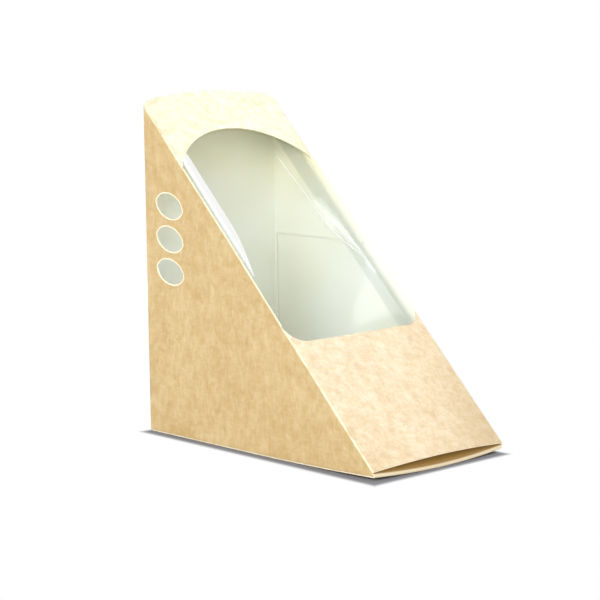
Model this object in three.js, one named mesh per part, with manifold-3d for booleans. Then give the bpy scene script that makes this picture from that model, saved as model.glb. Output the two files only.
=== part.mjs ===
// Sandwich wedge pack: a kraft board carton folded and glued from one blank, a base panel that opens
// along its back crease and tucks in at the front, and a clear film window sealed inside the slope.
// Millimetres. The sloping front faces -Y, the back panel is at +Y, and the pack stands on z = 0.
import * as THREE from "three";
import { mergeVertices } from "three/addons/utils/BufferGeometryUtils.js";
import Module from "manifold-3d";

const wasm = await Module();
wasm.setup();

// The closed pack
const WIDTH = 65;
const DEPTH = 123; // front corners to back panel
const HEIGHT = 123; // table to the crease at the top of the back panel

// Board and film
const BOARD = 0.4; // thickness of the kraft board
const FILM = 0.15; // thickness of the window film
const CREASE_INSIDE = 0.25; // inner radius of a scored fold
const CLEARANCE = 0.3; // gap between separate pieces
const GLUE_SINK = 0.02; // how far glued layers of the carton reach into each other

// Base panel: its front part curls, so that its corners stand off the table
const CORNER_LIFT = 1.3;
const CURL_LENGTH = 61; // curled part, measured back from the front
const TUCK_LENGTH = 18; // tuck flap, up the slope
const TUCK_TAPER = 5; // how much each side of the tuck flap narrows to its tip
const TUCK_CORNER = 6; // radius at the corners of its tip
const TUCK_ROOT = 4; // height up the slope at which the taper starts

// Front panel
const FRONT_REVEAL = 1.2; // its bottom edge is cut this much above the side walls' corners
const FRONT_BULGE = 2.7; // how far that free edge bows outwards at its middle
const BULGE_LENGTH = 66; // distance up the slope over which the bow dies out
const LIP_RISE = 5.2; // arched lip above the top crease
const LIP_INSET = 0.8; // its ends, in from the side folds
const LIP_FULLNESS = 0.5; // how far its curve keeps upright at the ends and level at the crown
const FOLD_LEG = 1.2; // side fold's reach down each side wall, where it joins the wall

// Window, cut from side fold to side fold; heights are measured along the slope
const WINDOW_BOTTOM = 60; // above the front corners
const WINDOW_TOP = 14; // crown of its arch, below the top crease
const WINDOW_ARCH = 18; // rise of the arch
const WINDOW_CORNER = 8; // radius of its lower corners
const EDGE_WEAR = 0.05; // raw board edges beside it lie this much under the slope's face

// Flaps inside the carton
const TOP_FLAP = 8; // glue flap under the front panel's top
const SIDE_FLAP_BOTTOM = 70; // height of the lower edge of the glue flap on the right wall
const SIDE_FLAP_INSET = 1; // its front edge, in from the slope
const DUST_WIDTH = 24;
const DUST_FRONT = 17; // start of the dust flaps, behind the front corners
const DUST_BACK = 2; // end of the dust flaps, in front of the back panel
const DUST_BEVEL = 12; // length of the bevel on their free corners

// Leaf-shaped vents in the left wall
const VENT_COUNT = 3;
const VENT_LENGTH = 15.5;
const VENT_HEIGHT = 9;
const VENT_FULLNESS = 0.8; // how blunt the leaf's ends are
const VENT_PITCH = 12.2;
const VENT_TOP = 86; // height of the top vent's centre
const VENT_FROM_BACK = 14;
const VENT_TILT = THREE.MathUtils.degToRad(12); // their front ends point down

// Window film: its sides turn round the folds onto the side walls, where they are sealed
const FILM_RADIUS = 4;
const FILM_LEG = 9;
const FILM_MARGIN = 10; // sealed margin below the window

// Fineness of the curved forms
const CREASE_STEPS = 4; // facets round a fold
const ARC_STEPS = 16; // facets along an arc of an outline
const PANEL_STEPS = 12; // facets across a bowed panel
const LENGTH_STEPS = 20; // facets along a bowed panel
const DUST_STEPS = 4; // facets across a dust flap
const SAME_POINT = 1e-4; // points closer than this are one

const halfWidth = WIDTH / 2;
const frontY = -DEPTH / 2;
const backY = DEPTH / 2;
const slope = Math.hypot(DEPTH, HEIGHT);
const slopeCos = DEPTH / slope;
const slopeSin = HEIGHT / slope;
const creaseRadius = BOARD + CREASE_INSIDE;
const wallBottom = BOARD + CLEARANCE; // the side walls stand on the base panel
const behindFront = BOARD + CLEARANCE; // depth of what lies behind the front panel
const frontFoot = (wallBottom + CORNER_LIFT + FRONT_REVEAL) / slopeSin;
const beyond = 10; // how far cutting bodies run past what they cut

// Point of the side view, as (y, z), at a distance up the slope and out of its face
function slopePoint(up, out) {
  return new THREE.Vector2(
    frontY + up * slopeCos - out * slopeSin,
    up * slopeSin + out * slopeCos,
  );
}

// Rise of the base panel above the table
function curl(x, y) {
  const reach = Math.max(0, frontY + CURL_LENGTH - y) / CURL_LENGTH;
  return CORNER_LIFT * reach ** 2 * (x / halfWidth) ** 2;
}

// Outward bow of the front panel
function bulge(x, up) {
  const fade = Math.max(0, 1 - up / BULGE_LENGTH);
  return FRONT_BULGE * fade ** 2 * Math.max(0, 1 - (x / halfWidth) ** 2);
}

// Line through corners, each rounded as a scored fold is
function creased(corners, radius) {
  const line = [corners[0]];
  for (let i = 1; i < corners.length - 1; i++) {
    const toBack = corners[i - 1].clone().sub(corners[i]).normalize();
    const toAhead = corners[i + 1].clone().sub(corners[i]).normalize();
    const halfAngle = Math.acos(toBack.dot(toAhead)) / 2;
    const inward = toBack.clone().add(toAhead).normalize();
    const centre = corners[i].clone().addScaledVector(inward, radius / Math.sin(halfAngle));
    const setback = radius / Math.tan(halfAngle);
    const start = corners[i].clone().addScaledVector(toBack, setback).sub(centre);
    const end = corners[i].clone().addScaledVector(toAhead, setback).sub(centre);
    const turn = Math.atan2(start.cross(end), start.dot(end));
    for (let k = 0; k <= CREASE_STEPS; k++)
      line.push(start.clone().rotateAround(new THREE.Vector2(), (turn * k) / CREASE_STEPS).add(centre));
  }
  line.push(corners[corners.length - 1]);
  return line;
}

// The same line with points added, so that no stretch of it is longer than `longest`
function divided(line, longest) {
  return line.slice(1).reduce(
    (made, end, i) => {
      const parts = Math.ceil(line[i].distanceTo(end) / longest);
      for (let k = 1; k <= parts; k++) made.push(line[i].clone().lerp(end, k / parts));
      return made;
    },
    [line[0]],
  );
}

// Cross-section of a sheet whose outer face follows a line; the sheet lies to the left of the line
function sheetSection(line, thickness) {
  const inner = line.map((point, i) => {
    const behind = point.clone().sub(line[Math.max(i - 1, 0)]).normalize();
    const ahead = line[Math.min(i + 1, line.length - 1)].clone().sub(point).normalize();
    const before = i === 0 ? ahead : behind;
    const after = i === line.length - 1 ? behind : ahead;
    const mitre = thickness / (1 + before.dot(after));
    return new THREE.Vector2(
      point.x - (before.y + after.y) * mitre,
      point.y + (before.x + after.x) * mitre,
    );
  });
  return new THREE.Shape([...line, ...inner.reverse()]);
}

// Solid of a closed geometry whose points are moved by `place`
function solid(geometry, place) {
  geometry.deleteAttribute("normal");
  geometry.deleteAttribute("uv");
  const merged = mergeVertices(geometry, SAME_POINT);
  const points = merged.getAttribute("position");
  const point = new THREE.Vector3();
  for (let i = 0; i < points.count; i++) {
    place(point.fromBufferAttribute(points, i));
    points.setXYZ(i, point.x, point.y, point.z);
  }
  const corners = new Uint32Array(merged.index.array);
  const [a, b, c] = [new THREE.Vector3(), new THREE.Vector3(), new THREE.Vector3()];
  let volume = 0;
  for (let i = 0; i < corners.length; i += 3) {
    a.fromBufferAttribute(points, corners[i]);
    b.fromBufferAttribute(points, corners[i + 1]);
    c.fromBufferAttribute(points, corners[i + 2]);
    volume += a.dot(b.cross(c));
  }
  // A mirroring move turns the faces in, so they are turned out again
  if (volume < 0)
    for (let i = 0; i < corners.length; i += 3)
      [corners[i + 1], corners[i + 2]] = [corners[i + 2], corners[i + 1]];
  return new wasm.Manifold(
    new wasm.Mesh({ numProp: 3, vertProperties: points.array, triVerts: corners }),
  );
}

// Solid of a shape given thickness, with `place` moving (across, along, depth) to the pack's frame
function extruded(shape, depth, steps, place) {
  const geometry = new THREE.ExtrudeGeometry(shape, {
    depth,
    steps,
    bevelEnabled: false,
    curveSegments: ARC_STEPS,
  });
  return solid(geometry, place);
}

// Upright plate or cutting body: an outline in (y, z), from x = low to x = high
function acrossWidth(shape, low, high) {
  return extruded(shape, high - low, 1, (p) => p.set(low + p.z, p.x, p.y));
}

// Plate or cutting body on the slope: an outline in (x, up), from out = low to out = high
function onSlope(shape, low, high) {
  return extruded(shape, high - low, 1, (p) => {
    const side = slopePoint(p.y, low + p.z);
    p.set(p.x, side.x, side.y);
  });
}

function rectangle(x0, y0, x1, y1) {
  return new THREE.Shape([
    new THREE.Vector2(x0, y0),
    new THREE.Vector2(x1, y0),
    new THREE.Vector2(x1, y1),
    new THREE.Vector2(x0, y1),
  ]);
}

// Side view of the wedge, with its slope at a depth under the front face
function wedgeOutline(depth) {
  const tangent = slopeSin / slopeCos;
  const drop = depth / slopeCos;
  return new THREE.Shape([
    new THREE.Vector2(frontY + drop / tangent, 0),
    new THREE.Vector2(backY, 0),
    new THREE.Vector2(backY, HEIGHT - drop),
  ]);
}

// Front panel with its two side folds, bowed at the foot
function frontPanel() {
  const line = creased(
    [
      new THREE.Vector2(halfWidth, -creaseRadius - FOLD_LEG),
      new THREE.Vector2(halfWidth, 0),
      new THREE.Vector2(-halfWidth, 0),
      new THREE.Vector2(-halfWidth, -creaseRadius - FOLD_LEG),
    ],
    creaseRadius,
  );
  const section = sheetSection(divided(line, WIDTH / PANEL_STEPS), BOARD);
  const length = slope + LIP_RISE - frontFoot;
  const sheet = extruded(section, length, LENGTH_STEPS, (p) => {
    const up = frontFoot + p.z;
    const side = slopePoint(up, p.y + bulge(p.x, up));
    p.set(p.x, side.x, side.y);
  });
  const behindApex = acrossWidth(
    rectangle(backY, HEIGHT / 2, backY + beyond, HEIGHT - BOARD / slopeCos),
    -halfWidth - beyond,
    halfWidth + beyond,
  );
  return sheet
    .intersect(onSlope(frontOutline(), -beyond, beyond))
    .subtract(onSlope(windowOutline(), -beyond, beyond))
    .subtract(behindApex);
}

function frontOutline() {
  const end = halfWidth - LIP_INSET;
  const crown = slope + LIP_RISE;
  const upright = slope + LIP_RISE * LIP_FULLNESS;
  const level = end * LIP_FULLNESS;
  const shape = new THREE.Shape();
  shape.moveTo(-halfWidth - beyond, 0);
  shape.lineTo(halfWidth + beyond, 0);
  shape.lineTo(halfWidth + beyond, slope);
  shape.lineTo(end, slope);
  shape.bezierCurveTo(end, upright, level, crown, 0, crown);
  shape.bezierCurveTo(-level, crown, -end, upright, -end, slope);
  shape.lineTo(-halfWidth - beyond, slope);
  return shape;
}

function windowOutline() {
  const shoulder = slope - WINDOW_TOP - WINDOW_ARCH;
  const radius = (halfWidth ** 2 + WINDOW_ARCH ** 2) / (2 * WINDOW_ARCH);
  const halfAngle = Math.asin(halfWidth / radius);
  const cornerX = halfWidth - WINDOW_CORNER;
  const cornerUp = WINDOW_BOTTOM + WINDOW_CORNER;
  const shape = new THREE.Shape();
  shape.moveTo(-halfWidth - beyond, cornerUp);
  shape.absarc(-cornerX, cornerUp, WINDOW_CORNER, Math.PI, Math.PI * 1.5, false);
  shape.absarc(cornerX, cornerUp, WINDOW_CORNER, Math.PI * 1.5, Math.PI * 2, false);
  shape.lineTo(halfWidth + beyond, cornerUp);
  shape.lineTo(halfWidth + beyond, shoulder);
  shape.absarc(
    0,
    slope - WINDOW_TOP - radius,
    radius,
    Math.PI / 2 - halfAngle,
    Math.PI / 2 + halfAngle,
    false,
  );
  shape.lineTo(-halfWidth - beyond, shoulder);
  return shape;
}

// Side view of what the base panel takes away from the foot of the side walls
function underWalls() {
  const points = [new THREE.Vector2(backY + beyond, -beyond), new THREE.Vector2(backY + beyond, wallBottom)];
  for (let i = 0; i <= ARC_STEPS; i++) {
    const y = frontY + CURL_LENGTH * (1 - i / ARC_STEPS);
    points.push(new THREE.Vector2(y, wallBottom + curl(halfWidth, y)));
  }
  points.push(new THREE.Vector2(frontY - beyond, wallBottom + CORNER_LIFT));
  points.push(new THREE.Vector2(frontY - beyond, -beyond));
  return new THREE.Shape(points);
}

// One side wall, to the left (-1) or right (+1). Beside the window it has no fold: its raw edge
// reaches up to the face of the slope.
function sideWall(side, holes) {
  const outline = wedgeOutline(creaseRadius);
  outline.holes = holes;
  const inside = halfWidth - BOARD;
  const [low, high] = side < 0 ? [-halfWidth, -inside] : [inside, halfWidth];
  const besideWindow = onSlope(
    rectangle(low, WINDOW_BOTTOM + WINDOW_CORNER - BOARD, high, slope - WINDOW_TOP - WINDOW_ARCH + BOARD),
    -creaseRadius - BOARD,
    -EDGE_WEAR,
  );
  return acrossWidth(outline, low, high)
    .add(besideWindow)
    .subtract(acrossWidth(underWalls(), low - beyond, high + beyond));
}

// A vent: two equal curves that meet in points, in (y, z)
function ventHole(centreZ) {
  const halfLength = VENT_LENGTH / 2;
  const handle = halfLength * VENT_FULLNESS;
  const rise = (VENT_HEIGHT / 2) * (4 / 3); // a cubic curve crowns at three quarters of its handles' height
  const centre = new THREE.Vector2(backY - VENT_FROM_BACK, centreZ);
  const tilted = (along, up) =>
    new THREE.Vector2(along, up).rotateAround(new THREE.Vector2(), VENT_TILT).add(centre);
  const path = new THREE.Path();
  path.moveTo(...tilted(-halfLength, 0));
  for (const side of [1, -1])
    path.bezierCurveTo(
      ...tilted(-side * handle, side * rise),
      ...tilted(side * handle, side * rise),
      ...tilted(side * halfLength, 0),
    );
  return path;
}

// Back panel, with the glue flap that laps inside the right wall and a leg that joins the left one
function backPanel() {
  const flapFace = halfWidth - BOARD + GLUE_SINK;
  const line = creased(
    [
      new THREE.Vector2(flapFace, frontY),
      new THREE.Vector2(flapFace, backY),
      new THREE.Vector2(-halfWidth, backY),
      new THREE.Vector2(-halfWidth, backY - creaseRadius - FOLD_LEG),
    ],
    creaseRadius,
  );
  const section = sheetSection(line, BOARD);
  const sheet = extruded(section, HEIGHT, 1, (p) => p.set(p.x, p.y, wallBottom + p.z));
  const underFlap = acrossWidth(
    rectangle(frontY - beyond, 0, backY - creaseRadius - FOLD_LEG, SIDE_FLAP_BOTTOM),
    0,
    halfWidth,
  );
  const underFront = acrossWidth(wedgeOutline(BOARD / 2), -halfWidth - beyond, halfWidth + beyond);
  const rightHalf = acrossWidth(wedgeOutline(BOARD + SIDE_FLAP_INSET), 0, halfWidth);
  const leftHalf = acrossWidth(rectangle(frontY, 0, backY, HEIGHT), -halfWidth - beyond, 0);
  const panel = acrossWidth(
    rectangle(backY - creaseRadius, 0, backY + beyond, HEIGHT),
    -halfWidth - beyond,
    halfWidth + beyond,
  );
  return sheet
    .intersect(underFront)
    .intersect(rightHalf.add(leftHalf).add(panel))
    .subtract(underFlap);
}

// Glue flap that the back panel's top sends forward under the front panel
function topFlap() {
  const inset = 2 * BOARD + CLEARANCE;
  const outline = rectangle(-halfWidth + inset, slope - TOP_FLAP, halfWidth - inset, slope - 2 * BOARD);
  return onSlope(outline, GLUE_SINK - 2 * BOARD, GLUE_SINK - BOARD);
}

// Dust flap that a side wall sends inwards over the base panel
function dustFlap(side) {
  const [low, high] = side < 0 ? [-halfWidth, DUST_WIDTH - halfWidth] : [halfWidth - DUST_WIDTH, halfWidth];
  const line = divided([new THREE.Vector2(low, 0), new THREE.Vector2(high, 0)], DUST_WIDTH / DUST_STEPS);
  const section = sheetSection(line, BOARD);
  const start = frontY + DUST_FRONT;
  const length = backY - DUST_BACK - start;
  const sheet = extruded(section, length, PANEL_STEPS, (p) => {
    const y = start + p.z;
    p.set(p.x, y, wallBottom + p.y + curl(p.x, y));
  });
  const outer = side * (halfWidth + beyond);
  const inner = side * (halfWidth - DUST_WIDTH);
  const bevelled = side * (halfWidth - BOARD * 2);
  const outline = new THREE.Shape([
    new THREE.Vector2(outer, start),
    new THREE.Vector2(bevelled, start),
    new THREE.Vector2(inner, start + DUST_BEVEL),
    new THREE.Vector2(inner, backY - DUST_BACK),
    new THREE.Vector2(outer, backY - DUST_BACK),
  ]);
  return sheet.intersect(extruded(outline, beyond, 1, (p) => p));
}

// Base panel and tuck flap, folded from one strip
function basePanel() {
  const top = slopePoint(TUCK_LENGTH, -behindFront);
  const crease = new THREE.Vector2(frontY + behindFront / slopeSin, 0);
  const curlEnd = new THREE.Vector2(frontY + CURL_LENGTH, 0);
  const curled = divided(creased([top, crease, curlEnd], creaseRadius), CURL_LENGTH / PANEL_STEPS);
  const section = sheetSection([...curled, new THREE.Vector2(backY, 0)], BOARD);
  const inset = BOARD + CLEARANCE;
  const width = WIDTH - 2 * inset;
  // The curl moves points up the slope, so that the tuck flap keeps its distance to the front panel
  const sheet = extruded(section, width, PANEL_STEPS, (p) => {
    const x = -width / 2 + p.z;
    const along = curl(x, p.x) / slopeSin;
    p.set(x, p.x + along * slopeCos, p.y + along * slopeSin);
  });
  const root = width / 2 + beyond;
  const tip = width / 2 - TUCK_TAPER;
  const end = TUCK_LENGTH + CORNER_LIFT / slopeSin;
  const flap = new THREE.Shape();
  flap.moveTo(-root, TUCK_ROOT - beyond);
  flap.lineTo(root, TUCK_ROOT - beyond);
  flap.lineTo(width / 2, TUCK_ROOT);
  flap.lineTo(tip, end - TUCK_CORNER);
  flap.absarc(tip - TUCK_CORNER, end - TUCK_CORNER, TUCK_CORNER, 0, Math.PI / 2, false);
  flap.absarc(-tip + TUCK_CORNER, end - TUCK_CORNER, TUCK_CORNER, Math.PI / 2, Math.PI, false);
  flap.lineTo(-width / 2, TUCK_ROOT);
  const besideFlap = onSlope(
    rectangle(-halfWidth, TUCK_ROOT, halfWidth, slope),
    -behindFront - 2 * BOARD,
    0,
  ).subtract(onSlope(flap, -beyond, beyond));
  return sheet.subtract(besideFlap);
}

// Film behind the window, turned round both side folds and trimmed where the walls run out
function windowFilm() {
  const left = -(halfWidth - BOARD - CLEARANCE);
  const right = halfWidth - 2 * BOARD - CLEARANCE;
  const line = creased(
    [
      new THREE.Vector2(right, -behindFront - FILM_LEG),
      new THREE.Vector2(right, -behindFront),
      new THREE.Vector2(left, -behindFront),
      new THREE.Vector2(left, -behindFront - FILM_LEG),
    ],
    FILM_RADIUS,
  );
  const section = sheetSection(line, FILM);
  const bottom = WINDOW_BOTTOM - FILM_MARGIN;
  const length = slope - TOP_FLAP - CLEARANCE - bottom;
  const sheet = extruded(section, length, 1, (p) => {
    const side = slopePoint(bottom + p.z, p.y);
    p.set(p.x, side.x, side.y);
  });
  const room = rectangle(frontY, 0, backY - BOARD - CLEARANCE, HEIGHT);
  return sheet.intersect(acrossWidth(room, -halfWidth, halfWidth));
}

function carton() {
  const vents = [];
  for (let i = 0; i < VENT_COUNT; i++) vents.push(ventHole(VENT_TOP - i * VENT_PITCH));
  return frontPanel()
    .add(sideWall(-1, vents))
    .add(sideWall(1, []))
    .add(backPanel())
    .add(topFlap())
    .add(dustFlap(-1))
    .add(dustFlap(1));
}

// Named mesh of a solid
function mesh(name, body, material) {
  const { vertProperties, triVerts, numProp } = body.getMesh();
  const geometry = new THREE.BufferGeometry();
  geometry.setAttribute("position", new THREE.BufferAttribute(vertProperties, numProp));
  geometry.setIndex(new THREE.BufferAttribute(triVerts, 1));
  geometry.computeVertexNormals();
  const made = new THREE.Mesh(geometry, material);
  made.name = name;
  return made;
}

const kraft = new THREE.MeshStandardMaterial({ color: 0xe3c392, roughness: 0.8, metalness: 0 });
const clearFilm = new THREE.MeshStandardMaterial({
  color: 0xf4f8f6,
  roughness: 0.1,
  metalness: 0,
  transparent: true,
  opacity: 0.25,
});

const pack = new THREE.Group();
pack.name = "sandwich_wedge_pack";
pack.add(mesh("carton", carton(), kraft));
pack.add(mesh("base_lid", basePanel(), kraft));
pack.add(mesh("window_film", windowFilm(), clearFilm));

// The origin lies on the table under the middle of the pack, with its lip and bowed front counted
const bounds = new THREE.Box3().setFromObject(pack);
pack.position.y = -(bounds.min.y + bounds.max.y) / 2;

export default pack;
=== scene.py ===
from math import asin, ceil, cos, hypot, pi, radians, sin, tan

import bmesh
import bpy
from mathutils import Matrix, Vector, noise
from mathutils.geometry import delaunay_2d_cdt


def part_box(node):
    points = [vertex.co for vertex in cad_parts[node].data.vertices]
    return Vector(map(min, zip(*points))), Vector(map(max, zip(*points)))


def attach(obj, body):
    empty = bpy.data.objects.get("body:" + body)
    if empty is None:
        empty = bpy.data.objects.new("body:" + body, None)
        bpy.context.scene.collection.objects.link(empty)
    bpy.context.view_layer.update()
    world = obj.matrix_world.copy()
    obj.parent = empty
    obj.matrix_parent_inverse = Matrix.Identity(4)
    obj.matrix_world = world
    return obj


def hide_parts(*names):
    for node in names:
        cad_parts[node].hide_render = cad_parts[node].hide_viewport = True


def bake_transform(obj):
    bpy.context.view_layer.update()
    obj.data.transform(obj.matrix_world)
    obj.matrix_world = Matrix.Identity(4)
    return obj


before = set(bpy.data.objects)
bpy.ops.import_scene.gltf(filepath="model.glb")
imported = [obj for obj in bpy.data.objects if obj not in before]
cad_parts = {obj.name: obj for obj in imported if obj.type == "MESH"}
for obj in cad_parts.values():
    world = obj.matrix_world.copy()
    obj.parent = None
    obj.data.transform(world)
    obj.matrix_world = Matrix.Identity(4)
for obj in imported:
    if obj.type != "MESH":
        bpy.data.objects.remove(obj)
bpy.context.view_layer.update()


# Camera and studio. The photograph is taken with a long lens from the pack's left front corner, a
# little above its middle. The pack stands on a white table, with soft lights above it and on its
# left, and white card all round.
MM = 0.001
ACROSS = (1, 0, 0)
BACKWARD = (0, 1, 0)
UPWARD = (0, 0, 1)
PHOTO = 600  # width and height of the photograph, in pixels
FOCAL = 2000  # focal length in those pixels
CAMERA_AZIMUTH = radians(-43.17)
CAMERA_ELEVATION = radians(7.51)
CAMERA_ROLL = radians(-0.61)
CAMERA_DISTANCE = 725.8 * MM
CAMERA_TARGET = Vector((0, -2.75 * MM, 61.5 * MM))
FRAME_CENTRE = (322.7, 275.1)  # where the target lies in the photograph
SENSOR = 36  # millimetres

toward_camera = Vector((
    sin(CAMERA_AZIMUTH) * cos(CAMERA_ELEVATION),
    -cos(CAMERA_AZIMUTH) * cos(CAMERA_ELEVATION),
    sin(CAMERA_ELEVATION),
))


def placed(name, data):
    """A new object in the scene."""
    made = bpy.data.objects.new(name, data)
    bpy.context.collection.objects.link(made)
    return made


def aimed(name, data, place, target, roll=0):
    """An object at a place, whose -Z axis looks at a target."""
    made = placed(name, data)
    turn = (Vector(place) - Vector(target)).to_track_quat("Z", "Y").to_matrix().to_4x4()
    made.matrix_world = Matrix.Translation(place) @ turn @ Matrix.Rotation(roll, 4, "Z")
    return made


lens = bpy.data.cameras.new("camera")
lens.sensor_width = SENSOR
lens.lens = FOCAL / PHOTO * SENSOR
lens.shift_x = (PHOTO / 2 - FRAME_CENTRE[0]) / PHOTO
lens.shift_y = (FRAME_CENTRE[1] - PHOTO / 2) / PHOTO
lens.clip_end = 20
bpy.context.scene.camera = aimed(
    "camera", lens, CAMERA_TARGET + toward_camera * CAMERA_DISTANCE, CAMERA_TARGET, CAMERA_ROLL
)


class Sock:
    """A shader socket that takes part in Python expressions."""

    def __init__(self, tree, out):
        self.tree = tree
        self.out = out

    def get(self, kind, settings=None, inputs=None, output=0):
        """Adds a node, sets it up, links or fills its inputs and gives one of its outputs."""
        made = self.tree.nodes.new(kind)
        for key, value in (settings or {}).items():
            setattr(made, key, value)
        for key, value in (inputs or {}).items():
            if isinstance(value, Sock):
                self.tree.links.new(value.out, made.inputs[key])
            else:
                made.inputs[key].default_value = value
        return Sock(self.tree, made.outputs[output])

    def maths(self, operation, *values):
        return self.get("ShaderNodeMath", {"operation": operation}, dict(enumerate(values)))

    def __add__(self, other):
        return self.maths("ADD", self, other)

    def __sub__(self, other):
        return self.maths("SUBTRACT", self, other)

    def __rsub__(self, other):
        return self.maths("SUBTRACT", other, self)

    def __mul__(self, other):
        return self.maths("MULTIPLY", self, other)

    def __pow__(self, other):
        return self.maths("POWER", self, other)

    __radd__ = __add__
    __rmul__ = __mul__

    def size(self):
        return self.maths("ABSOLUTE", self)

    def larger(self, other):
        return self.maths("MAXIMUM", self, other)

    def fade(self, low, high, to_low=0, to_high=1):
        """Smooth step from to_low, where this is under low, to to_high, where it is over high."""
        return self.get(
            "ShaderNodeMapRange",
            {"interpolation_type": "SMOOTHSTEP"},
            {"Value": self, "From Min": low, "From Max": high, "To Min": to_low, "To Max": to_high},
        )

    def mix(self, low, high):
        """Colour that goes from low to high as this goes from 0 to 1."""
        return self.get(
            "ShaderNodeMix", {"data_type": "RGBA"}, {"Factor": self, 6: low, 7: high}, output=2
        )

    def blend(self, low, high):
        """Shader that goes from low to high as this goes from 0 to 1."""
        return self.get("ShaderNodeMixShader", {}, {0: self, 1: low, 2: high})

    def noise(self, scale, detail=2, stretch=(1, 1, 1), rough=0.5, distort=0):
        """Noise with this as the position; scale is per metre."""
        place = self.get("ShaderNodeMapping", {}, {"Vector": self, "Scale": stretch})
        sockets = {"Vector": place, "Scale": scale, "Detail": detail, "Roughness": rough}
        return self.get("ShaderNodeTexNoise", {}, {**sockets, "Distortion": distort})

    def along(self, direction):
        """Distance of this position along a direction."""
        return self.get(
            "ShaderNodeVectorMath", {"operation": "DOT_PRODUCT"}, {0: self, 1: direction}, "Value"
        )


def material(name):
    """A new node material, and the position on the object as a socket in it."""
    made = bpy.data.materials.new(name)
    made.use_nodes = True
    made.node_tree.nodes.clear()
    return made, Sock(made.node_tree, None).get("ShaderNodeTexCoord", {}, {}, output="Object")


def finished(made, shader):
    """The material, ended with its shader."""
    out = made.node_tree.nodes.new("ShaderNodeOutputMaterial")
    made.node_tree.links.new(shader.out, out.inputs["Surface"])
    return made


def seen_or_mirrored(tree):
    """1 for what the camera sees, straight or by reflection or through glass, and 0 for light."""
    path = tree.nodes.new("ShaderNodeLightPath")
    seen = Sock(tree, path.outputs["Is Camera Ray"])
    return seen.larger(Sock(tree, path.outputs["Is Glossy Ray"])).larger(
        Sock(tree, path.outputs["Is Transmission Ray"])
    )


WHITE = (1, 1, 1, 1)
TABLE_HALF = 3  # metres
TABLE_SHADE = (0.96, 0.96, 0.96, 1)
# TABLE_DARK is a painted shadow: a dark sheet that the camera sees close round the pack's foot.
TABLE_DARK = (0.22, 0.225, 0.25, 1)  # its shade right under the pack's edges
TABLE_SHADED = 3.6 * MM  # how far that shade reaches
TABLE_SHIFT = (2.6 * MM, 1.2 * MM)  # it lies further out on the left and in front
table_mesh = bpy.data.meshes.new("table_top")
table_mesh.from_pydata(
    [(-TABLE_HALF, -TABLE_HALF, 0), (TABLE_HALF, -TABLE_HALF, 0),
     (TABLE_HALF, TABLE_HALF, 0), (-TABLE_HALF, TABLE_HALF, 0)],
    [],
    [(0, 1, 2, 3)],
)
table_top = placed("table_top", table_mesh)


def table_white():
    made, here = material("table_white")
    foot_low, foot_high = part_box("base_lid")
    middle = (foot_low[1] + foot_high[1]) / 2
    beside = (here.along(ACROSS) + TABLE_SHIFT[0]).size() - foot_high[0]
    before = (here.along(BACKWARD) - middle + TABLE_SHIFT[1]).size() - (foot_high[1] - middle)
    sheet = here.get("ShaderNodeBsdfDiffuse", {}, {"Color": TABLE_SHADE})
    glow = here.get("ShaderNodeEmission", {}, {"Color": WHITE, "Strength": 1})
    # Painted shadow: within TABLE_SHADED of the footprint the camera sees a dark sheet, and white glow
    # further out.
    painted_shadow = here.get("ShaderNodeBsdfDiffuse", {}, {"Color": TABLE_DARK})
    shown = (beside.larger(before).fade(-1 * MM, TABLE_SHADED) ** 2).blend(painted_shadow, glow)
    return finished(made, seen_or_mirrored(here.tree).blend(sheet, shown))


table_mesh.materials.append(table_white())

ROOM_LIGHT = 0.95  # strength of the white card all round
world = bpy.data.worlds.new("white_card")
bpy.context.scene.world = world
world.use_nodes = True
background = world.node_tree.nodes["Background"]
background.inputs["Color"].default_value = WHITE
world.node_tree.links.new(
    (seen_or_mirrored(world.node_tree) * (1 - ROOM_LIGHT) + ROOM_LIGHT).out,
    background.inputs["Strength"],
)


def softbox(name, toward, distance, size, power):
    """A square area light in a direction from the pack, aimed at its middle."""
    lamp = bpy.data.lights.new(name, "AREA")
    lamp.shape = "SQUARE"
    lamp.size = size
    lamp.energy = power
    aimed(name, lamp, CAMERA_TARGET + Vector(toward).normalized() * distance, CAMERA_TARGET)


softbox("overhead_softbox", toward=(0.1, 0.1, 1), distance=1.2, size=0.6, power=1)
softbox("left_softbox", toward=(-1, -0.4, 0.55), distance=1.2, size=0.55, power=8)

bpy.context.scene.view_settings.view_transform = "Standard"


# Carton: one die-cut blank of solid bleached board with an unbleached kraft face. Its front panel,
# both side walls and back panel are folded along scored creases and glued, with the kraft face out,
# and a glue flap and two dust flaps are turned in. Cut edges show the pale core.
BOARD = 0.4 * MM
CREASE = 0.65 * MM  # outer radius of a scored fold
GLUE = 0.03 * MM  # gap between glued layers
carton_low, carton_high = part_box("carton")
HALF = carton_high[0]
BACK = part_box("base_lid")[1][1]
DEPTH = 123 * MM
HEIGHT = 123 * MM
FRONT = BACK - DEPTH
SLOPE = hypot(DEPTH, HEIGHT)
COS = DEPTH / SLOPE
SIN = HEIGHT / SLOPE
WALL_BOTTOM = carton_low[2]
CORNER_LIFT = 1.3 * MM
CURL_LENGTH = 61 * MM
FOOT_GAP = 1.2 * MM  # the front panel ends this far above the base's raised corners
FOOT = (WALL_BOTTOM + CORNER_LIFT + FOOT_GAP) / SIN
BULGE = 2.7 * MM
BULGE_LENGTH = 66 * MM
LIP_RISE = 5.2 * MM
LIP_INSET = 0.8 * MM
WINDOW_BOTTOM = 60 * MM
WINDOW_CROWN = SLOPE - 14 * MM
WINDOW_ARCH = 18 * MM
WINDOW_CORNER = 8 * MM
RAW_EDGE = 0.05 * MM  # depth of the walls' raw edges beside the window
GRID = 3 * MM  # spacing of the mesh on flat board
FINE = 1 * MM  # and along its outlines
FOLD_STEPS = 5
ARC_STEPS = 20
RUNG = 1.5 * FINE  # and up the side folds
SLACK = 0.01  # share by which a stretch may be longer
MERGED = 1e-6  # points of an outline that lie nearer than this, in metres, are one
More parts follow.
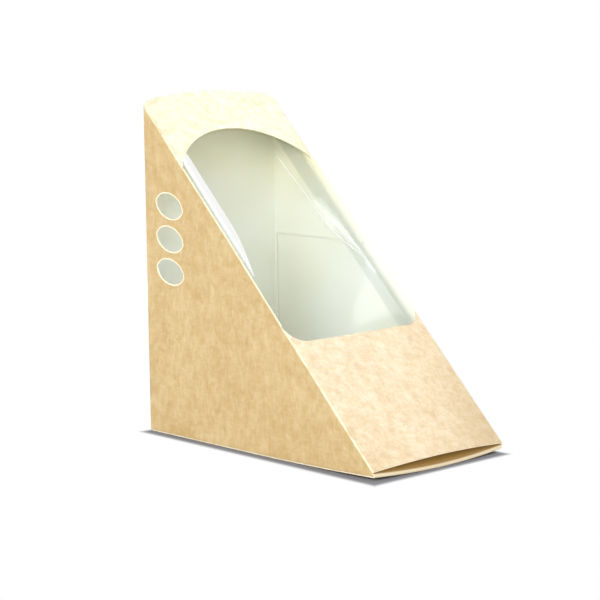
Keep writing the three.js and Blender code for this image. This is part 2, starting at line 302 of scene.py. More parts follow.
JOINED = 1e-7  # the same for the points of a patch
WELD = 0.02 * MM  # vertices nearer than this are welded
SHORTEST = 0.01 * MM  # edges shorter than this are dissolved
WARP = 0.28 * MM  # unevenness of the board
WARP_LENGTH = 34 * MM
WARP_RISE = (2 * MM, 20 * MM)  # it starts at the first height and takes the second to grow to full
WARP_SEED = 1  # gives the same unevenness in each run
SHARP = radians(40)  # folds sharper than this keep a hard edge in the shading

FLAT = HALF - CREASE
FOLD = CREASE * pi / 2
SHOULDER = WINDOW_CROWN - WINDOW_ARCH
CORNER_TOP = WINDOW_BOTTOM + WINDOW_CORNER

noise.seed_set(WARP_SEED)


def side_point(x, up, out=0):
    """Point at a distance across, up the slope and out of its face."""
    return Vector((x, FRONT + up * COS - out * SIN, up * SIN + out * COS))


def curl(x, y):
    """Rise of the base panel's front corners above the table."""
    reach = max(0, FRONT + CURL_LENGTH - y) / CURL_LENGTH
    return CORNER_LIFT * reach**2 * (x / HALF) ** 2


def bow(x, up):
    """How far the front panel stands out over its free bottom edge."""
    return BULGE * max(0, 1 - up / BULGE_LENGTH) ** 2 * max(0, 1 - (x / HALF) ** 2)


def warped(point):
    """The point moved by the slight unevenness of the board, which dies out towards the table."""
    fade = min(1, max(0, point.z - WARP_RISE[0]) / WARP_RISE[1])
    return point + noise.noise_vector(point / WARP_LENGTH) * WARP * fade


def divided(line, longest):
    """The line with points added, so that no stretch of it is longer than longest."""
    made = [line[0]]
    for start, end in zip(line, line[1:]):
        count = max(1, ceil((end - start).length / longest - SLACK))
        made += [start.lerp(end, k / count) for k in range(1, count + 1)]
    return made


def arc(centre, radius, start, end, steps=ARC_STEPS):
    """Points round an arc, with angles in radians."""
    angles = [start + (end - start) * k / steps for k in range(steps + 1)]
    return [Vector((centre[0] + radius * cos(a), centre[1] + radius * sin(a))) for a in angles]


def curve(a, b, c, d):
    """Points along a cubic curve from a to d, with b and c as its handles."""
    made = []
    for k in range(ARC_STEPS + 1):
        t = k / ARC_STEPS
        made.append(a * (1 - t) ** 3 + b * 3 * t * (1 - t) ** 2 + c * 3 * t * t * (1 - t) + d * t**3)
    return made


def closed(*lines):
    """A loop through several lines, without the doubled points where they meet."""
    made = []
    for line in lines:
        for point in line:
            if not made or (point - made[-1]).length > MERGED:
                made.append(point)
    if (made[0] - made[-1]).length < MERGED:
        made.pop()
    return made


def inside(point, loops):
    """Whether a point lies inside the outer loop and outside the holes."""
    odd = False
    for loop in loops:
        before = loop[-1]
        for after in loop:
            if (after.y > point.y) != (before.y > point.y):
                share = (point.y - after.y) / (before.y - after.y)
                if point.x < after.x + share * (before.x - after.x):
                    odd = not odd
            before = after
    return odd


def add_patch(mesh, loops, place, folds=(), turned=False, crushed=()):
    """Adds to a mesh the flat patch inside loops, folded to its place by a function.

    The crushed loops lie round cut-outs; inside them the face of the board is core.
    """
    points = []
    edges = []
    for loop in [*loops, *crushed]:
        first = len(points)
        points += loop
        edges += [(first + k, first + (k + 1) % len(loop)) for k in range(len(loop))]
    for fold in folds:
        first = len(points)
        points += fold
        edges += [(first + k, first + k + 1) for k in range(len(fold) - 1)]
    low = Vector((min(p.x for p in loops[0]), min(p.y for p in loops[0])))
    high = Vector((max(p.x for p in loops[0]), max(p.y for p in loops[0])))
    taken = {(round(p.x / GRID), round(p.y / GRID)) for p in points}
    for i in range(int(low.x / GRID) - 1, int(high.x / GRID) + 2):
        for j in range(int(low.y / GRID) - 1, int(high.y / GRID) + 2):
            spot = Vector((i * GRID, j * GRID))
            if (i, j) not in taken and inside(spot, loops):
                points.append(spot)
    flat, _, faces, _, _, _ = delaunay_2d_cdt(points, edges, [], 0, JOINED)
    corners = {}
    for face in faces:
        middle = sum((flat[k] for k in face), Vector((0, 0))) / len(face)
        if not inside(middle, loops):
            continue
        for k in face:
            if k not in corners:
                corners[k] = mesh.verts.new(place(flat[k]))
        ring = [corners[k] for k in face]
        made = mesh.faces.new(ring[::-1] if turned else ring)
        if any(inside(middle, [loop]) for loop in crushed):
            made.material_index = 2


def sheet_object(name, mesh, materials, thickness=BOARD, warp=True):
    """A piece of board from the mesh of its outer face, given its thickness inwards."""
    bmesh.ops.remove_doubles(mesh, verts=mesh.verts, dist=WELD)
    bmesh.ops.dissolve_degenerate(mesh, edges=mesh.edges, dist=SHORTEST)
    if warp:
        for vert in mesh.verts:
            vert.co = warped(vert.co)
    data = bpy.data.meshes.new(name)
    mesh.to_mesh(data)
    mesh.free()
    piece = placed(name, data)
    for made in materials:
        data.materials.append(made)
    thick = piece.modifiers.new("thickness", "SOLIDIFY")
    thick.thickness = thickness
    thick.offset = -1
    thick.material_offset = 1
    thick.material_offset_rim = 2
    solid = piece.evaluated_get(bpy.context.evaluated_depsgraph_get())
    built = bpy.data.meshes.new_from_object(solid)
    piece.modifiers.clear()
    piece.data = built
    built.name = name
    built.shade_smooth()
    built.set_sharp_from_angle(angle=SHARP)
    return piece


def across(s):
    """Across and depth of a point of the front panel, a distance s from its middle along the board."""
    if abs(s) <= FLAT:
        return s, 0
    turn = min(1, (abs(s) - FLAT) / FOLD) * pi / 2
    return (FLAT + CREASE * sin(turn)) * (1 if s > 0 else -1), -CREASE * (1 - cos(turn))


def along_board(x):
    """The distance along the board of a point of the front panel at x."""
    if abs(x) <= FLAT:
        return x
    turn = asin(min(1, (abs(x) - FLAT) / CREASE))
    return (FLAT + CREASE * turn) * (1 if x > 0 else -1)


def front_place(p):
    x, out = across(p.x)
    return side_point(x, p.y, out + bow(x, p.y))


def mitre_height(out):
    """Height up the slope where a side fold of the front panel meets the one of the back panel."""
    return (DEPTH + out * (1 + SIN)) / COS


EDGE = FLAT + FOLD  # half the width of the front panel along the board, with its folds
fold_stops = [FLAT + FOLD * k / FOLD_STEPS for k in range(FOLD_STEPS + 1)]
wall_top = mitre_height(-CREASE)
rungs = divided([Vector((0, 0)), Vector((0, wall_top))], RUNG)
rungs = sorted({round(p.y, 7) for p in rungs} | {round(v, 7) for v in (FOOT, CORNER_TOP, SHOULDER)})


def side_of_front(sign, low, high):
    """Points up the outer side of the front panel's fold, shared with the side wall."""
    return [Vector((sign * EDGE, up)) for up in rungs if low - MERGED <= up <= high + MERGED]


def fold_lines(low, high):
    return [
        [Vector((sign * s, low)), Vector((sign * s, high))] for sign in (-1, 1) for s in fold_stops[:-1]
    ]


def window_foot():
    """The window's lower edge from the right fold to the left one."""
    centre = HALF - WINDOW_CORNER
    line = arc((centre, CORNER_TOP), WINDOW_CORNER, 0, -pi / 2)
    line += arc((-centre, CORNER_TOP), WINDOW_CORNER, -pi / 2, -pi)
    return divided([Vector((along_board(p.x), p.y)) for p in line], FINE)


def window_arch():
    """The window's arch from the left fold to the right one."""
    radius = (HALF**2 + WINDOW_ARCH**2) / (2 * WINDOW_ARCH)
    reach = asin(HALF / radius)
    line = arc((0, WINDOW_CROWN - radius), radius, pi / 2 + reach, pi / 2 - reach, 3 * ARC_STEPS)
    return [Vector((along_board(p.x), p.y)) for p in line]


def lower_front():
    foot = divided([Vector((-EDGE, FOOT)), Vector((EDGE, FOOT))], FINE)
    return closed(
        foot,
        side_of_front(1, FOOT, CORNER_TOP),
        window_foot(),
        side_of_front(-1, FOOT, CORNER_TOP)[::-1],
    )


def mitre(sign):
    """The front panel's end over a side fold, from its outer side to the flat."""
    return [Vector((sign * s, mitre_height(across(s)[1]))) for s in fold_stops[::-1]]


def upper_front():
    """The front panel over the window, with the arched lip over its top crease."""
    end = FLAT - LIP_INSET + CREASE
    crown = SLOPE + LIP_RISE
    right = curve(
        Vector((end, SLOPE)),
        Vector((end, SLOPE + LIP_RISE / 2)),
        Vector((end / 2, crown)),
        Vector((0, crown)),
    )
    left = [Vector((-p.x, p.y)) for p in right[::-1]]
    return closed(
        side_of_front(1, SHOULDER, wall_top),
        mitre(1),
        right,
        left,
        mitre(-1)[::-1],
        side_of_front(-1, SHOULDER, wall_top)[::-1],
        window_arch(),
    )


def under_slope(y, depth):
    """Height over the table at y of a line that runs a depth under the slope."""
    return ((y - FRONT) * SIN - depth) / COS


WALL_STEPS = 40  # stretches along the curled bottom edge of a side wall
START_TRIES = 5  # rounds in which its front end is brought onto the slope


def wall_outline(back):
    """A side wall in (y, z), with its raw edge raised beside the window."""
    start = FRONT
    for _ in range(START_TRIES):
        start = FRONT + (WALL_BOTTOM + curl(HALF, start)) * COS / SIN + CREASE / SIN
    bottom = []
    for k in range(WALL_STEPS + 1):
        y = start + (back - start) * k / WALL_STEPS
        bottom.append(Vector((y, WALL_BOTTOM + curl(HALF, y))))
    corner = Vector((back, under_slope(back, CREASE)))
    top_up = (corner.x - FRONT) * COS + corner.y * SIN
    low_up = (bottom[0].x - FRONT) * COS + bottom[0].y * SIN
    slope_line = []
    for up in rungs[::-1]:
        if low_up < up < top_up - MERGED:
            depths = [CREASE]
            if CORNER_TOP + MERGED < up < SHOULDER - MERGED:
                depths = [RAW_EDGE]
            elif abs(up - SHOULDER) < MERGED:
                depths = [CREASE, RAW_EDGE]
            elif abs(up - CORNER_TOP) < MERGED:
                depths = [RAW_EDGE, CREASE]
            for depth in depths:
                at = side_point(0, up, -depth)
                slope_line.append(Vector((at.y, at.z)))
    return closed(bottom, divided([bottom[-1], corner], 2 * FINE), slope_line)


VENT_LENGTH = 15.5 * MM
VENT_HEIGHT = 9 * MM
VENT_FULLNESS = 0.8
VENT_PITCH = 12.2 * MM
VENT_TOP = 86 * MM
VENT_FROM_BACK = 14 * MM
VENT_TILT = radians(12)
VENT_CRUSHED = 0.38 * MM  # width of the pale, crushed rim round each vent


def vent_outline(centre_z, grown=0):
    """A leaf of two equal curves that meet in points, in (y, z), larger all round by grown."""
    tip = VENT_LENGTH / 2 + grown
    handle = tip * VENT_FULLNESS
    rise = (VENT_HEIGHT / 2 + grown) * 4 / 3
    upper = curve(Vector((-tip, 0)), Vector((-handle, rise)), Vector((handle, rise)), Vector((tip, 0)))
    leaf = closed(upper, [-p for p in upper])
    turn = Matrix.Rotation(VENT_TILT, 2)
    return [turn @ p + Vector((BACK - VENT_FROM_BACK, centre_z)) for p in leaf]


SIDE_FLAP_BOTTOM = 70 * MM
SIDE_FLAP_INSET = 1 * MM
FOLD_LEG = 1.2 * MM
FLAP_FACE = HALF - BOARD - GLUE  # outer face of the glue flap inside the right wall
BACK_LEFT = FOLD
BACK_RIGHT = BACK_LEFT + FLAT + FLAP_FACE - CREASE
BACK_SNIP = 0.1 * MM  # bevel at the back panel's two top corners
FLAP_START = BACK_RIGHT + FOLD


def back_place(p):
    """A point of the back panel's strip, from the left wall round the back to the glue flap."""
    if p.x < BACK_LEFT:
        turn = (1 - p.x / FOLD) * pi / 2
        return Vector((-FLAT - CREASE * sin(turn), BACK - CREASE * (1 - cos(turn)), p.y))
    if p.x <= BACK_RIGHT:
        return Vector((-FLAT + p.x - BACK_LEFT, BACK, p.y))
    centre = FLAP_FACE - CREASE
    if p.x < FLAP_START:
        turn = (p.x - BACK_RIGHT) / FOLD * pi / 2
        return Vector((centre + CREASE * sin(turn), BACK - CREASE * (1 - cos(turn)), p.y))
    return Vector((FLAP_FACE, BACK - CREASE - (p.x - FLAP_START), p.y))


def back_outline():
    """The back panel and its glue flap in (along the board, z), from the left wall's edge."""
    flap_depth = BOARD + SIDE_FLAP_INSET
    flap_y = BACK - CREASE
    leg = FLAP_START + FOLD_LEG
    tip_y = FRONT + (SIDE_FLAP_BOTTOM * COS + flap_depth) / SIN
    tip = FLAP_START + flap_y - tip_y
    panel_top = HEIGHT - BOARD / COS - GLUE
    top = []
    for k in range(FOLD_STEPS + 1):
        turn = pi / 2 * (1 - k / FOLD_STEPS)
        out = -CREASE * (1 - cos(turn))
        top.append(Vector((FOLD * k / FOLD_STEPS, side_point(0, mitre_height(out), out).z)))
    top.append(Vector((BACK_LEFT + BACK_SNIP, panel_top)))
    left = divided([top[0], Vector((0, WALL_BOTTOM))], 2 * FINE)
    return closed(
        divided([Vector((0, WALL_BOTTOM)), Vector((leg, WALL_BOTTOM))], FINE),
        divided(
            [
                Vector((leg, WALL_BOTTOM)),
                Vector((leg, SIDE_FLAP_BOTTOM)),
                Vector((tip, SIDE_FLAP_BOTTOM)),
                Vector((FLAP_START, under_slope(flap_y, flap_depth))),
                Vector((BACK_RIGHT, panel_top - CREASE)),
                Vector((BACK_RIGHT - BACK_SNIP, panel_top)),
                top[-1],
            ],
            2 * FINE,
        ),
        top[::-1],
        left,
    )


def back_folds():
    stops = [BACK_LEFT * k / FOLD_STEPS for k in range(1, FOLD_STEPS + 1)]
    stops += [BACK_RIGHT + FOLD * k / FOLD_STEPS for k in range(FOLD_STEPS + 1)]
    return [[Vector((s, WALL_BOTTOM)), Vector((s, HEIGHT))] for s in stops]


OUTSIDE = (0.45, 0.295, 0.10, 1)
OUTSIDE_LIGHT = (0.585, 0.45, 0.24, 1)
FLECK = (0.34, 0.21, 0.07, 1)
INSIDE = (0.935, 0.965, 0.915, 1)
# INSIDE_SHADE is painted shade for the top of the inside, deep under the front panel.
INSIDE_SHADE = (0.82, 0.79, 0.55, 1)
CORE = (0.93, 0.86, 0.68, 1)
CORE_SHADE = (0.80, 0.68, 0.46, 1)
OUT_OF_SLOPE = (0, -SIN, COS)
WORN_ACROSS = (0.7 * MM, 0.25 * MM)  # wear on a side fold begins and is full this near the wall's face
WORN_INWARD = (0.8 * MM, 0.35 * MM)  # and this near the slope's face
SHADE_HEIGHTS = (66 * MM, 116 * MM)  # between these the inside turns warmer


def worn_folds(here, colour):
    """The colour, rubbed pale on the side folds of the slope, where the kraft face is stretched."""
    out = here.along(OUT_OF_SLOPE) + FRONT * SIN
    beside = here.along(ACROSS).size().fade(HALF - WORN_ACROSS[0], HALF - WORN_ACROSS[1])
    near = beside * out.fade(-WORN_INWARD[0], -WORN_INWARD[1])
    patchy = here.noise(160, 3, rough=0.6).fade(0.3, 0.6, 0.2, 0.65)
    return (near * patchy).mix(colour, CORE)


def kraft(name, change):
    """The unbleached face; change(here, colour) adds one piece's marks to its colour: wear, or painted
    highlight and shade.
    """
    made, here = material(name)
    cloud = here.noise(34, 3)
    mottle = here.noise(270, 5, stretch=(1, 1, 0.7), rough=0.68, distort=0.4)
    fibre = here.noise(950, 3, stretch=(1, 1, 0.25), rough=0.7, distort=0.6)
    cross = here.noise(800, 3, stretch=(0.3, 0.3, 1), rough=0.7, distort=0.6)
    grain = fibre * 0.55 + cross * 0.45
    tone = cloud * 0.18 + mottle * 0.47 + grain * 0.5 - 0.075
    fleck = here.noise(700, 2, stretch=(1, 1, 0.45)).fade(0.66, 0.76) * 0.4
    colour = change(here, fleck.mix(tone.fade(0.34, 0.7).mix(OUTSIDE, OUTSIDE_LIGHT), FLECK))
    relief = here.get(
        "ShaderNodeBump", {}, {"Strength": 0.16, "Distance": 0.25 * MM, "Height": grain + mottle * 0.5}
    )
    shader = here.get(
        "ShaderNodeBsdfPrincipled",
        {},
        {
            "Base Color": colour,
            "Roughness": mottle.fade(0.25, 0.75, 0.54, 0.44),
            "Specular IOR Level": 0.75,
            "Normal": relief,
        },
    )
    return finished(made, shader)


def pale_inside():
    made, here = material("board_inside")
    cloud = here.noise(26, 3)
    fibre = here.noise(700, 3, stretch=(1, 1, 0.3), rough=0.6)
    # Painted shade: towards the top of the wedge the inside is painted darker and olive.
    high = here.along(UPWARD).fade(*SHADE_HEIGHTS, 0, 0.9)
    colour = (high + cloud.fade(0.3, 0.7, 0, 0.4)).mix(INSIDE, INSIDE_SHADE)
    relief = here.get("ShaderNodeBump", {}, {"Strength": 0.08, "Distance": 0.2 * MM, "Height": fibre})
    shader = here.get(
        "ShaderNodeBsdfPrincipled",
        {},
        {"Base Color": colour, "Roughness": fibre.fade(0.2, 0.8, 0.5, 0.7), "Normal": relief},
    )
    return finished(made, shader)


def cut_edge():
    made, here = material("board_cut_edge")
    fibre = here.noise(1400, 3)
    shader = here.get(
        "ShaderNodeBsdfPrincipled",
        {},
        {"Base Color": fibre.fade(0.3, 0.7).mix(CORE_SHADE, CORE), "Roughness": 0.85},
    )
    return finished(made, shader)


kraft_face = kraft("kraft_face", worn_folds)
board_inside = pale_inside()
board_cut = cut_edge()
BOARD_FINISH = (kraft_face, board_inside, board_cut)

blank = bmesh.new()
add_patch(blank, [lower_front()], front_place, fold_lines(FOOT, CORNER_TOP))
add_patch(blank, [upper_front()], front_place, fold_lines(SHOULDER, SLOPE))
vent_heights = [VENT_TOP - k * VENT_PITCH for k in range(3)]
add_patch(
    blank,
    [wall_outline(BACK - CREASE), *[vent_outline(z) for z in vent_heights]],
    lambda p: Vector((-HALF, p.x, p.y)),
    turned=True,
    crushed=[vent_outline(z, VENT_CRUSHED) for z in vent_heights],
)
add_patch(blank, [wall_outline(BACK - GLUE)], lambda p: Vector((HALF, p.x, p.y)))
add_patch(blank, [back_outline()], back_place, back_folds(), turned=True)
folded_board = sheet_object("folded_board", blank, BOARD_FINISH)
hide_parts("carton")
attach(folded_board, "pack")


# Glue flap and dust flaps: the ends of the same blank. The flap at the back panel's top is turned
# forward and glued under the front panel, and the walls' dust flaps lie loose over the base.
TOP_FLAP = 8 * MM
TOP_FLAP_INSET = 1.1 * MM
DUST_WIDTH = 24 * MM
DUST_FRONT = 17 * MM
DUST_BACK = 2 * MM
DUST_BEVEL = 12 * MM
DUST_CLEAR = 0.02 * MM  # between a dust flap's crease and the outer face of its wall


def top_flap_outline():
    """The flap in (x, up), glued under the front panel between window and top crease."""
    half = HALF - TOP_FLAP_INSET
    low = SLOPE - TOP_FLAP
    high = SLOPE - 2 * BOARD
    ring = [Vector((-half, low)), Vector((half, low)), Vector((half, high)), Vector((-half, high))]
    return closed(divided([*ring, ring[0]], 2 * FINE))


def dust_flap_outline(side):
    """A dust flap in (x, y), turned in from the foot of a side wall."""
    outer = side * (HALF - DUST_CLEAR)
    inner = side * (HALF - DUST_WIDTH)
    front = FRONT + DUST_FRONT
    back = BACK - DUST_BACK
    ring = [
        Vector((outer, front)),
        Vector((side * (HALF - 2 * BOARD), front)),
        Vector((inner, front + DUST_BEVEL)),
        Vector((inner, back)),
        Vector((outer, back)),
    ]
    if side > 0:
        ring = ring[::-1]
    return closed(divided([*ring, ring[0]], 2 * FINE))


inner_flaps = bmesh.new()
add_patch(inner_flaps, [top_flap_outline()], lambda p: side_point(p.x, p.y, -BOARD - GLUE))
for side in (-1, 1):
    add_patch(
        inner_flaps,
        [dust_flap_outline(side)],
        lambda p: Vector((p.x, p.y, WALL_BOTTOM + GLUE + curl(p.x, p.y))),
        turned=True,
    )
flaps = sheet_object("glue_and_dust_flaps", inner_flaps, BOARD_FINISH)
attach(flaps, "pack")


# Sheen card: a cool card high on the right, near the mirror angle of the slope's upper half, gives
# the kraft face its white sheen towards the top. It lights the folded board alone, and only by gloss.
SHEEN_PLACE = Vector((325, -50, 575)) * MM
SHEEN_SIZE = 350 * MM
SHEEN_POWER = 5.6
SHEEN_TINT = (0.84, 0.89, 1)

sheen = bpy.data.lights.new("sheen_card", "AREA")
sheen.size = SHEEN_SIZE
sheen.energy = SHEEN_POWER
sheen.color = SHEEN_TINT
sheen_card = aimed("sheen_card", sheen, SHEEN_PLACE, side_point(0, SHOULDER))
sheen_card.visible_diffuse = False
lit_board = bpy.data.collections.new("board_in_the_sheen")
lit_board.objects.link(folded_board)
sheen_card.light_linking.receiver_collection = lit_board


# Base: the last panel of the same blank. It hangs on the back panel by a crease, lies on the table
# with its front corners curled up, and its tuck flap is pushed up behind the front panel's foot.
BEHIND_FRONT = 0.7 * MM
TUCK_LENGTH = 18 * MM
TUCK_TAPER = 5 * MM
TUCK_CORNER = 6 * MM
TUCK_ROOT = 4 * MM
HINGE_SIDE = 2.2 * MM  # how far the back crease reaches under the base
BASE_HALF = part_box("base_lid")[1][0]
TUCK_END = TUCK_LENGTH + CORNER_LIFT / SIN

front_crease = FRONT + BEHIND_FRONT / SIN
crease_angle = pi / 4  # between the tuck flap and the base
setback = CREASE / tan(crease_angle / 2)
crease_centre = Vector((front_crease + setback, CREASE))
tuck_foot = setback + BEHIND_FRONT * COS / SIN  # where the tuck flap leaves the crease, up the slope
TUCK_RUN = TUCK_END - tuck_foot
CREASE_RUN = CREASE * (pi - crease_angle)


def base_side(s):
    """Side view of the base strip at a distance s from the tip of the tuck flap, as (y, z)."""
    if s < TUCK_RUN:
        at = side_point(0, TUCK_END - s, -BEHIND_FRONT)
        return Vector((at.y, at.z))
    if s < TUCK_RUN + CREASE_RUN:
        turn = pi / 2 + crease_angle + (s - TUCK_RUN) / CREASE
        return crease_centre + CREASE * Vector((cos(turn), sin(turn)))
    return Vector((crease_centre.x + s - TUCK_RUN - CREASE_RUN, 0))


def base_place(p):
    """A point of the base strip, lifted along the slope where the corners curl up."""
    side = base_side(p.y)
    lift = curl(p.x, side.x) / SIN
    return Vector((p.x, side.x + lift * COS, side.y + lift * SIN))


def base_outline():
    """The base and its tuck flap in (x, along the strip), from the flap's tip to the back crease."""
    end = TUCK_RUN + CREASE_RUN + BACK - HINGE_SIDE - crease_centre.x
    tip = BASE_HALF - TUCK_TAPER
    root = TUCK_END - TUCK_ROOT
    right = [Vector((BASE_HALF, end)), Vector((BASE_HALF, root)), Vector((tip, TUCK_CORNER))]
    right = divided(right, FINE) + arc((tip - TUCK_CORNER, TUCK_CORNER), TUCK_CORNER, 0, -pi / 2)
    left = [Vector((-p.x, p.y)) for p in right[::-1]]
    return closed(
        divided([left[-1], right[0]], 2 * FINE), right, divided([right[-1], left[0]], 2 * FINE), left
    )


def base_folds():
    stops = [TUCK_RUN + CREASE_RUN * k / (2 * FOLD_STEPS) for k in range(2 * FOLD_STEPS + 1)]
    return [divided([Vector((-BASE_HALF, s)), Vector((BASE_HALF, s))], GRID) for s in stops]


# Painted light: the pale crease tone is a painted highlight where the fold catches the light, and the deep
# tuck tone is painted shade for the dark slit.
CREASE_HIGHLIGHT = (0.78, 0.68, 0.48, 1)
TUCK_SHADE = (0.35, 0.19, 0.035, 1)
TUCK_DEPTHS = (10 * MM, 16 * MM)  # these colours fade out between these distances behind the front
CREASE_RISE = (1.1 * MM, 1.5 * MM)  # heights between which the crease's colour gives way to the flap's


def tuck_shade_and_highlight(here, colour):
    """The colour with a painted highlight, pale, along the front crease and painted shade, darker, on the
    tuck flap over it.
    """
    ahead = here.along(BACKWARD).fade(FRONT + TUCK_DEPTHS[0], FRONT + TUCK_DEPTHS[1], 1, 0)
    rise = here.along(UPWARD) - here.along(ACROSS) ** 2 * (CORNER_LIFT / HALF**2)
    return (ahead * rise.fade(*CREASE_RISE)).mix((ahead * 0.8).mix(colour, CREASE_HIGHLIGHT), TUCK_SHADE)


kraft_base_painted_light = kraft("kraft_base_painted_light", tuck_shade_and_highlight)
base_blank = bmesh.new()
add_patch(base_blank, [base_outline()], base_place, base_folds(), turned=True)
base_board = sheet_object("base_board", base_blank, (kraft_base_painted_light, board_inside, board_cut), warp=False)
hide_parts("base_lid")
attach(base_board, "base")


# Back crease: the score between the base panel and the back panel, on which the base opens. The
# board runs through it unbroken, and this strip runs from one panel's end to the other's.
HINGE_ROWS = 24


def hinge_side(s):
    """Side view of the strip at a distance s from its end under the base, as (y, z)."""
    flat = HINGE_SIDE - CREASE
    if s < flat:
        return BACK - HINGE_SIDE + s, 0
    if s < flat + FOLD:
        turn = (s - flat) / CREASE
        return BACK - CREASE + CREASE * sin(turn), CREASE - CREASE * cos(turn)
    return BACK, CREASE + s - flat - FOLD


def joined_rows(rows):
    """A mesh of four-sided faces between rows of points."""
    mesh = bmesh.new()
    grid = [[mesh.verts.new(point) for point in row] for row in rows]
    for low, high in zip(grid, grid[1:]):
        for i in range(len(low) - 1):
            mesh.faces.new((low[i], low[i + 1], high[i + 1], high[i]))
    return mesh


def hinge_rows():
    """Rows of points across the strip, from its end on the back panel to the one under the base."""
    run = HINGE_SIDE - CREASE + FOLD + WALL_BOTTOM - CREASE
    columns = ceil(2 * BASE_HALF / GRID)
    rows = []
    for j in range(HINGE_ROWS, -1, -1):
        side = hinge_side(run * j / HINGE_ROWS)
        rows.append([(-BASE_HALF + 2 * BASE_HALF * i / columns, *side) for i in range(columns + 1)])
    return rows


back_crease = sheet_object("back_crease", joined_rows(hinge_rows()), BOARD_FINISH, warp=False)
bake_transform(back_crease)


# Window film: clear film, a few hundredths of a millimetre thick, heat sealed to the board below
# and above the window and turned round both folds. It is held only at its edges, so it has a sharp
# crease beside the right fold. The crease is not in the mesh: its bright line is a painted
# reflection, and so is the shining strip where the film turns round the left fold. It shows by
# what it reflects.
FILM = 0.06 * MM
FILM_DEPTH = 0.75 * MM
FILM_RADIUS = 4 * MM
FILM_LEG = 9 * MM
FILM_STEP = 1 * MM
FILM_WAVE = 0.05 * MM  # unevenness of the film
FILM_WAVELENGTH = (24 * MM, 46 * MM)  # of that unevenness, across and up the slope
FILM_HELD = (14 * MM, 20 * MM)  # the seals hold it flat this far up and down from them
FILM_OVERLAP = 10 * MM  # below the window
film_low, film_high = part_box("window_film")
FILM_LEFT = film_low[0]
FILM_RIGHT = film_high[0]
FILM_BOTTOM = WINDOW_BOTTOM - FILM_OVERLAP
FILM_TOP = SLOPE - TOP_FLAP - 0.5 * MM
film_turn = FILM_RADIUS * pi / 2
film_run = FILM_RIGHT - FILM_LEFT - 2 * FILM_RADIUS
film_leg = FILM_LEG - FILM_RADIUS


def film_section(s):
    """Across and depth of the film, a distance s along it from the end of its left leg."""
    s -= film_leg
    if s < 0:
        return FILM_LEFT, s - FILM_RADIUS
    if s < film_turn:
        turn = s / FILM_RADIUS
        return FILM_LEFT + FILM_RADIUS * (1 - cos(turn)), -FILM_RADIUS * (1 - sin(turn))
    s -= film_turn
    if s < film_run:
        return FILM_LEFT + FILM_RADIUS + s, 0
    s -= film_run
    if s < film_turn:
        turn = s / FILM_RADIUS
        return FILM_RIGHT - FILM_RADIUS * (1 - sin(turn)), -FILM_RADIUS * (1 - cos(turn))
    return FILM_RIGHT, -FILM_RADIUS - (s - film_turn)


def film_place(s, up):
    """Point of the film, a distance s along it and up the slope."""
    x, out = film_section(s)
    above_foot = min(1, max(0, up - WINDOW_BOTTOM) / FILM_HELD[0])
    below_head = min(1, max(0, WINDOW_CROWN - up) / FILM_HELD[1])
    middle = max(0, 1 - (x / HALF) ** 2)
    wave = noise.noise(Vector((x / FILM_WAVELENGTH[0], up / FILM_WAVELENGTH[1], 0)))
    point = side_point(x, up, -FILM_DEPTH + out + above_foot * below_head * middle * wave * FILM_WAVE)
    point.y = min(point.y, BACK - 2 * BOARD)
    return point


def film_rows():
    """Rows of points across the film, from its foot to its head."""
    length = 2 * film_leg + 2 * film_turn + film_run
    columns = ceil(length / FILM_STEP)
    count = ceil((FILM_TOP - FILM_BOTTOM) / FILM_STEP)
    rows = []
    for j in range(count + 1):
        up = FILM_BOTTOM + (FILM_TOP - FILM_BOTTOM) * j / count
        rows.append([film_place(length * i / columns, up) for i in range(columns + 1)])
    return rows


FILM_TINT = (0.985, 0.992, 0.988, 1)
FILM_MIRROR = 0.045  # share of the light that it mirrors head on
# Painted reflections: the shining strip and the crease's bright line are masks that make the film a white
# satin mirror.
BRIGHT_FOLD = (-31.2 * MM, -25.6 * MM)  # inner edge of the turned, shining strip: at its foot and top
BRIGHT_SPAN = (76 * MM, 116 * MM)  # heights up the slope between which it widens
BRIGHT_START = (2.5 * MM, 3.1 * MM)  # its outer edge fades in between these distances from the wall
BRIGHT_SOFT = 0.5 * MM  # and its inner edge fades out over this width
BRIGHT_SHARE = 0.8  # how much of the clear film the shine covers
CREASE_START = (15.9 * MM, 143 * MM)  # a sharp crease beside the right fold, in (x, up)
CREASE_LEAN = 0.08  # how far it goes to the right, for its length
CREASE_TURN = 112 * MM  # height at which it bends towards the fold
CREASE_BEND = 18.9  # per metre: how sharply it bends
CREASE_END = 92 * MM
CREASE_FADES = (1 * MM, 4 * MM)  # lengths over which its lower and upper ends die out
CREASE_GLINT_WIDTH = (0.12 * MM, 0.3 * MM)  # half widths of its bright core and of its soft edge
CREASE_GLINT_SHARE = 0.7


def painted_fold_shine(side, up):
    """1 on the shining strip where the film turns down at the left, a painted reflection, from its places
    across and up.
    """
    inner = up.fade(*BRIGHT_SPAN, *BRIGHT_FOLD)
    return (inner - side).fade(0, BRIGHT_SOFT) * (side + HALF).fade(*BRIGHT_START)


def crease_painted_glint(side, up):
    """1 on the painted reflection along the crease beside the right fold."""
    bent = (CREASE_TURN - up).larger(0) ** 2 * CREASE_BEND
    line = (CREASE_START[1] - up) * CREASE_LEAN + bent + CREASE_START[0]
    near = (side - line).size().fade(*CREASE_GLINT_WIDTH, 1, 0)
    low_end = up.fade(CREASE_END, CREASE_END + CREASE_FADES[0])
    high_end = up.fade(CREASE_START[1] + CREASE_FADES[1], CREASE_START[1], 0, 1)
    return near * low_end * high_end


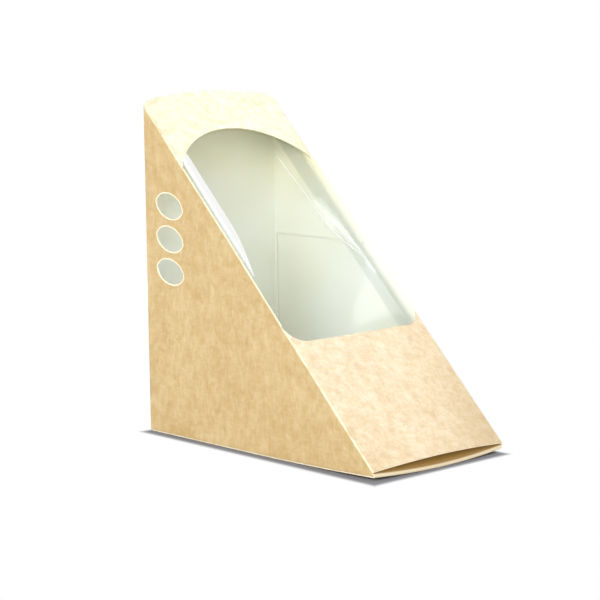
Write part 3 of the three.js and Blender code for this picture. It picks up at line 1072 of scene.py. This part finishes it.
def clear_film():
    made, here = material("clear_film")
    facing = here.get("ShaderNodeLayerWeight", {}, {"Blend": 0.5}, output="Facing")
    mirror = facing**5 * 0.9 + FILM_MIRROR
    clear = here.get("ShaderNodeBsdfTransparent", {}, {"Color": FILM_TINT})
    metal = {"Base Color": WHITE, "Metallic": 1}
    gloss = here.get("ShaderNodeBsdfPrincipled", {}, {**metal, "Roughness": 0.05})
    painted_reflection = here.get("ShaderNodeBsdfPrincipled", {}, {**metal, "Roughness": 0.3})
    side = here.along(ACROSS)
    up = here.along((0, COS, SIN)) - FRONT * COS
    # Painted reflection: where shine is 1, the film is a white satin mirror instead of clear film.
    shine = (painted_fold_shine(side, up) * BRIGHT_SHARE).larger(crease_painted_glint(side, up) * CREASE_GLINT_SHARE)
    return finished(made, shine.blend(mirror.blend(clear, gloss), painted_reflection))


film_finish = [clear_film()] * 3
window = sheet_object("window_film_sheet", joined_rows(film_rows()), film_finish, FILM, warp=False)
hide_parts("window_film")
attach(window, "pack")


# Cards for the film: what it mirrors in the photograph are bright walls and lamps of the studio. Each
# is a lit card cut to shape, hung where the film's slope mirrors it to the camera: a veil of light low
# on the window, a streak down the right fold and a small glint in the veil's corner.
CARD_AWAY = 0.8  # metres from the film
CARD_TINT = (0.92, 0.96, 1, 1)
VEIL = [(22, 98), (23, 91), (22.6, 87), (19.9, 83.2), (16.3, 78.9), (10.5, 74.9), (6.5, 71.3), (3.1, 67.1),
        (-2.3, 62.3), (0.6, 61.4), (8.9, 63.9), (18.2, 66.3), (26.4, 67), (34, 65.2), (35, 84), (28, 88)]
STREAK = [(21.4, 123), (22.6, 121), (23.9, 114), (25.5, 107), (27.5, 102), (31, 98.5), (35, 95),
          (33, 93), (29, 96), (26, 99), (24.2, 104), (22.6, 110), (21.6, 117)]
GLINT = [(27, 91), (29, 92.5), (32, 90), (33.5, 87), (31, 86), (28, 87.5)]


def film_card(name, outline, strength):
    """A lit card of a strength, which the film shows in an outline given in millimetres as (x, up)."""
    eye = bpy.context.scene.camera.matrix_world.translation
    corners = []
    for x, up in outline:
        spot = side_point(x * MM, up * MM, -FILM_DEPTH)
        corners.append(spot + (spot - eye).normalized().reflect(Vector(OUT_OF_SLOPE)) * CARD_AWAY)
    data = bpy.data.meshes.new(name)
    data.from_pydata(corners, [], [tuple(range(len(corners)))])
    card = placed(name, data)
    made, here = material(name)
    glow = here.get("ShaderNodeEmission", {}, {"Color": CARD_TINT, "Strength": strength})
    data.materials.append(finished(made, glow))
    card.visible_camera = False
    card.visible_diffuse = False
    card.visible_shadow = False
    card.visible_transmission = False


film_card("low_card", VEIL, 2.6)
film_card("streak_card", STREAK, 12)
film_card("glint_card", GLINT, 14)
